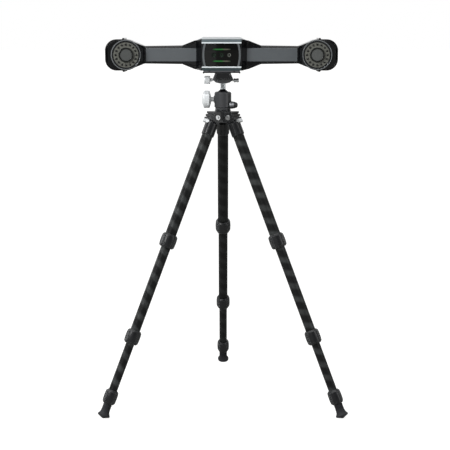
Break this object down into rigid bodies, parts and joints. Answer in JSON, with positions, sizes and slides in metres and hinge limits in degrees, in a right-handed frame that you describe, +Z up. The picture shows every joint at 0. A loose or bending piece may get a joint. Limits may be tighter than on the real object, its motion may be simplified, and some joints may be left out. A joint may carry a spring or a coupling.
{
  "type": "optical tracker on tripod",
  "caption": "Wide tracker bar with ring-lit cameras at its ends and a dark window in the middle, on a ball head with a dovetail clamp and a folding tripod with twist locks.",
  "frame": {"origin": "on the floor, under the centre of the object's bounding box", "axes": "+Z up, -Y towards the working space that the cameras look at, +X to the right for someone facing the cameras"},
  "size_m": [0.5852, 0.5106, 0.8786],
  "materials": {
    "black_metal": "satin",
    "silver_metal": "satin",
    "steel": "satin",
    "carbon": "gloss",
    "rubber": "matte",
    "shell": "satin",
    "panel": "satin",
    "cap": "satin",
    "light_cover": "satin",
    "window": "gloss",
    "gloss_black": "gloss",
    "ring_board": "matte",
    "filter": "gloss",
    "status_light": "gloss",
    "board": "satin"
  },
  "bodies": {
    "base": {"spider": "black_metal", "spider_fasteners": "silver_metal", "pan_base": "black_metal"},
    "rear_leg": {"rear_leg_shoulder": "black_metal", "rear_leg_tube_1": "carbon"},
    "rear_angle_stop": {"rear_leg_angle_stop": "silver_metal"},
    "rear_lock_1": {"rear_leg_lock_1": "black_metal"},
    "rear_section_2": {"rear_leg_tube_2": "carbon"},
    "rear_lock_2": {"rear_leg_lock_2": "black_metal"},
    "rear_section_3": {"rear_leg_tube_3": "carbon"},
    "rear_lock_3": {"rear_leg_lock_3": "black_metal"},
    "rear_section_4": {"rear_leg_tube_4": "carbon", "rear_leg_foot": "rubber"},
    "left_leg": {"left_leg_shoulder": "black_metal", "left_leg_tube_1": "carbon"},
    "left_angle_stop": {"left_leg_angle_stop": "silver_metal"},
    "left_lock_1": {"left_leg_lock_1": "black_metal"},
    "left_section_2": {"left_leg_tube_2": "carbon"},
    "left_lock_2": {"left_leg_lock_2": "black_metal"},
    "left_section_3": {"left_leg_tube_3": "carbon"},
    "left_lock_3": {"left_leg_lock_3": "black_metal"},
    "left_section_4": {"left_leg_tube_4": "carbon", "left_leg_foot": "rubber"},
    "right_leg": {"right_leg_shoulder": "black_metal", "right_leg_tube_1": "carbon"},
    "right_angle_stop": {"right_leg_angle_stop": "silver_metal"},
    "right_lock_1": {"right_leg_lock_1": "black_metal"},
    "right_section_2": {"right_leg_tube_2": "carbon"},
    "right_lock_2": {"right_leg_lock_2": "black_metal"},
    "right_section_3": {"right_leg_tube_3": "carbon"},
    "right_lock_3": {"right_leg_lock_3": "black_metal"},
    "right_section_4": {"right_leg_tube_4": "carbon", "right_leg_foot": "rubber"},
    "ball_housing": {"ball_housing": "black_metal"},
    "ball": {"ball_stem": "black_metal"},
    "main_lock_knob": {"main_lock_knob": "silver_metal"},
    "pan_lock_knob": {"pan_lock_knob": "silver_metal"},
    "clamp": {"clamp_base": "black_metal"},
    "clamp_jaw": {"clamp_jaw": "black_metal"},
    "clamp_knob": {"clamp_knob": "silver_metal"},
    "clamp_lock_knob": {"clamp_lock_knob": "silver_metal"},
    "tracker": {"qr_plate": "black_metal", "mount_plate": "black_metal", "rear_shell": "shell", "front_shell": "shell", "centre_covers": "light_cover", "window_bezel": "silver_metal", "display_window": "window", "arm_panels": "panel", "end_caps": "cap", "bezel_rings": "silver_metal", "ring_light_boards": "ring_board", "lens_filters": "filter", "camera_modules": "black_metal", "sensor_barrels": "gloss_black", "status_light_bars": "status_light", "spine_beam": "silver_metal", "main_board": "board", "connectors": "silver_metal", "screws": "steel"}
  },
  "joints": [
    {"name": "rear_leg_fold", "type": "hinge", "parent": "base", "child": "rear_leg", "pos_m": [0, -0.05607, 0.69098], "axis": [1, 0, 0], "range_deg": [-23.5, 0]},
    {"name": "rear_stop_pull", "type": "slide", "parent": "rear_leg", "child": "rear_angle_stop", "axis": [0, 0.9171, 0.3987], "range_m": [0, 0.004], "stiffness_N_per_m": 300, "springref_m": -0.002},
    {"name": "rear_lock_1_twist", "type": "hinge", "parent": "rear_leg", "child": "rear_lock_1", "pos_m": [0, 0.06834, 0.40485], "axis": [0, 0.3987, -0.9171], "range_deg": [0, 90]},
    {"name": "rear_section_2_slide", "type": "slide", "parent": "rear_leg", "child": "rear_section_2", "axis": [0, 0.3987, -0.9171], "range_m": [-0.205, 0]},
    {"name": "rear_lock_2_twist", "type": "hinge", "parent": "rear_section_2", "child": "rear_lock_2", "pos_m": [0, 0.16404, 0.18476], "axis": [0, 0.3987, -0.9171], "range_deg": [0, 90]},
    {"name": "rear_section_3_slide", "type": "slide", "parent": "rear_section_2", "child": "rear_section_3", "axis": [0, 0.3987, -0.9171], "range_m": [-0.115, 0.083]},
    {"name": "rear_lock_3_twist", "type": "hinge", "parent": "rear_section_3", "child": "rear_lock_3", "pos_m": [0, 0.22345, 0.04812], "axis": [0, 0.3987, -0.9171], "range_deg": [0, 90]},
    {"name": "rear_section_4_slide", "type": "slide", "parent": "rear_section_3", "child": "rear_section_4", "axis": [0, 0.3987, -0.9171], "range_m": [0, 0.21]},
    {"name": "left_leg_fold", "type": "hinge", "parent": "base", "child": "left_leg", "pos_m": [-0.02079, -0.09207, 0.69098], "axis": [-0.5, 0.866, 0], "range_deg": [-23.5, 0]},
    {"name": "left_stop_pull", "type": "slide", "parent": "left_leg", "child": "left_angle_stop", "axis": [-0.7942, -0.4585, 0.3987], "range_m": [0, 0.004], "stiffness_N_per_m": 300, "springref_m": -0.002},
    {"name": "left_lock_1_twist", "type": "hinge", "parent": "left_leg", "child": "left_lock_1", "pos_m": [-0.12853, -0.15427, 0.40485], "axis": [-0.3453, -0.1994, -0.9171], "range_deg": [0, 90]},
    {"name": "left_section_2_slide", "type": "slide", "parent": "left_leg", "child": "left_section_2", "axis": [-0.3453, -0.1994, -0.9171], "range_m": [-0.205, 0]},
    {"name": "left_lock_2_twist", "type": "hinge", "parent": "left_section_2", "child": "left_lock_2", "pos_m": [-0.21141, -0.20212, 0.18476], "axis": [-0.3453, -0.1994, -0.9171], "range_deg": [0, 90]},
    {"name": "left_section_3_slide", "type": "slide", "parent": "left_section_2", "child": "left_section_3", "axis": [-0.3453, -0.1994, -0.9171], "range_m": [-0.115, 0.083]},
    {"name": "left_lock_3_twist", "type": "hinge", "parent": "left_section_3", "child": "left_lock_3", "pos_m": [-0.26286, -0.23183, 0.04812], "axis": [-0.3453, -0.1994, -0.9171], "range_deg": [0, 90]},
    {"name": "left_section_4_slide", "type": "slide", "parent": "left_section_3", "child": "left_section_4", "axis": [-0.3453, -0.1994, -0.9171], "range_m": [0, 0.21]},
    {"name": "right_leg_fold", "type": "hinge", "parent": "base", "child": "right_leg", "pos_m": [0.02079, -0.09207, 0.69098], "axis": [-0.5, -0.866, 0], "range_deg": [-23.5, 0]},
    {"name": "right_stop_pull", "type": "slide", "parent": "right_leg", "child": "right_angle_stop", "axis": [0.7942, -0.4585, 0.3987], "range_m": [0, 0.004], "stiffness_N_per_m": 300, "springref_m": -0.002},
    {"name": "right_lock_1_twist", "type": "hinge", "parent": "right_leg", "child": "right_lock_1", "pos_m": [0.12853, -0.15427, 0.40485], "axis": [0.3453, -0.1994, -0.9171], "range_deg": [0, 90]},
    {"name": "right_section_2_slide", "type": "slide", "parent": "right_leg", "child": "right_section_2", "axis": [0.3453, -0.1994, -0.9171], "range_m": [-0.205, 0]},
    {"name": "right_lock_2_twist", "type": "hinge", "parent": "right_section_2", "child": "right_lock_2", "pos_m": [0.21141, -0.20212, 0.18476], "axis": [0.3453, -0.1994, -0.9171], "range_deg": [0, 90]},
    {"name": "right_section_3_slide", "type": "slide", "parent": "right_section_2", "child": "right_section_3", "axis": [0.3453, -0.1994, -0.9171], "range_m": [-0.115, 0.083]},
    {"name": "right_lock_3_twist", "type": "hinge", "parent": "right_section_3", "child": "right_lock_3", "pos_m": [0.26286, -0.23183, 0.04812], "axis": [0.3453, -0.1994, -0.9171], "range_deg": [0, 90]},
    {"name": "right_section_4_slide", "type": "slide", "parent": "right_section_3", "child": "right_section_4", "axis": [0.3453, -0.1994, -0.9171], "range_m": [0, 0.21]},
    {"name": "head_pan", "type": "hinge", "parent": "base", "child": "ball_housing", "pos_m": [0, -0.08007, 0.70948], "axis": [0, 0, 1], "continuous": true},
    {"name": "ball_tilt", "type": "hinge", "parent": "ball_housing", "child": "ball", "pos_m": [0, -0.08007, 0.74198], "axis": [1, 0, 0], "range_deg": [-25, 25]},
    {"name": "main_knob_turn", "type": "hinge", "parent": "ball_housing", "child": "main_lock_knob", "pos_m": [-0.0385, -0.08007, 0.73298], "axis": [1, 0, 0], "range_deg": [0, 270]},
    {"name": "pan_knob_turn", "type": "hinge", "parent": "ball_housing", "child": "pan_lock_knob", "pos_m": [0.02356, -0.09106, 0.71998], "axis": [0.9063, -0.4226, 0], "range_deg": [0, 180]},
    {"name": "clamp_pan", "type": "hinge", "parent": "ball", "child": "clamp", "pos_m": [0, -0.08007, 0.77128], "axis": [0, 0, 1], "continuous": true},
    {"name": "jaw_slide", "type": "slide", "parent": "clamp", "child": "clamp_jaw", "axis": [-1, 0, 0], "range_m": [0, 0.003]},
    {"name": "clamp_knob_turn", "type": "hinge", "parent": "clamp_jaw", "child": "clamp_knob", "pos_m": [-0.037, -0.08007, 0.77858], "axis": [-1, 0, 0], "range_deg": [0, 1080]},
    {"name": "clamp_lock_turn", "type": "hinge", "parent": "clamp", "child": "clamp_lock_knob", "pos_m": [0.03, -0.08007, 0.77748], "axis": [1, 0, 0], "range_deg": [0, 180]},
    {"name": "tracker_slide", "type": "slide", "parent": "clamp", "child": "tracker", "axis": [0, 1, 0], "range_m": [-0.015, 0.015]}
  ],
  "couplings": [
    {"joint": "clamp_knob_turn", "follows": "jaw_slide", "rad_per_m": 6283.2}
  ]
}
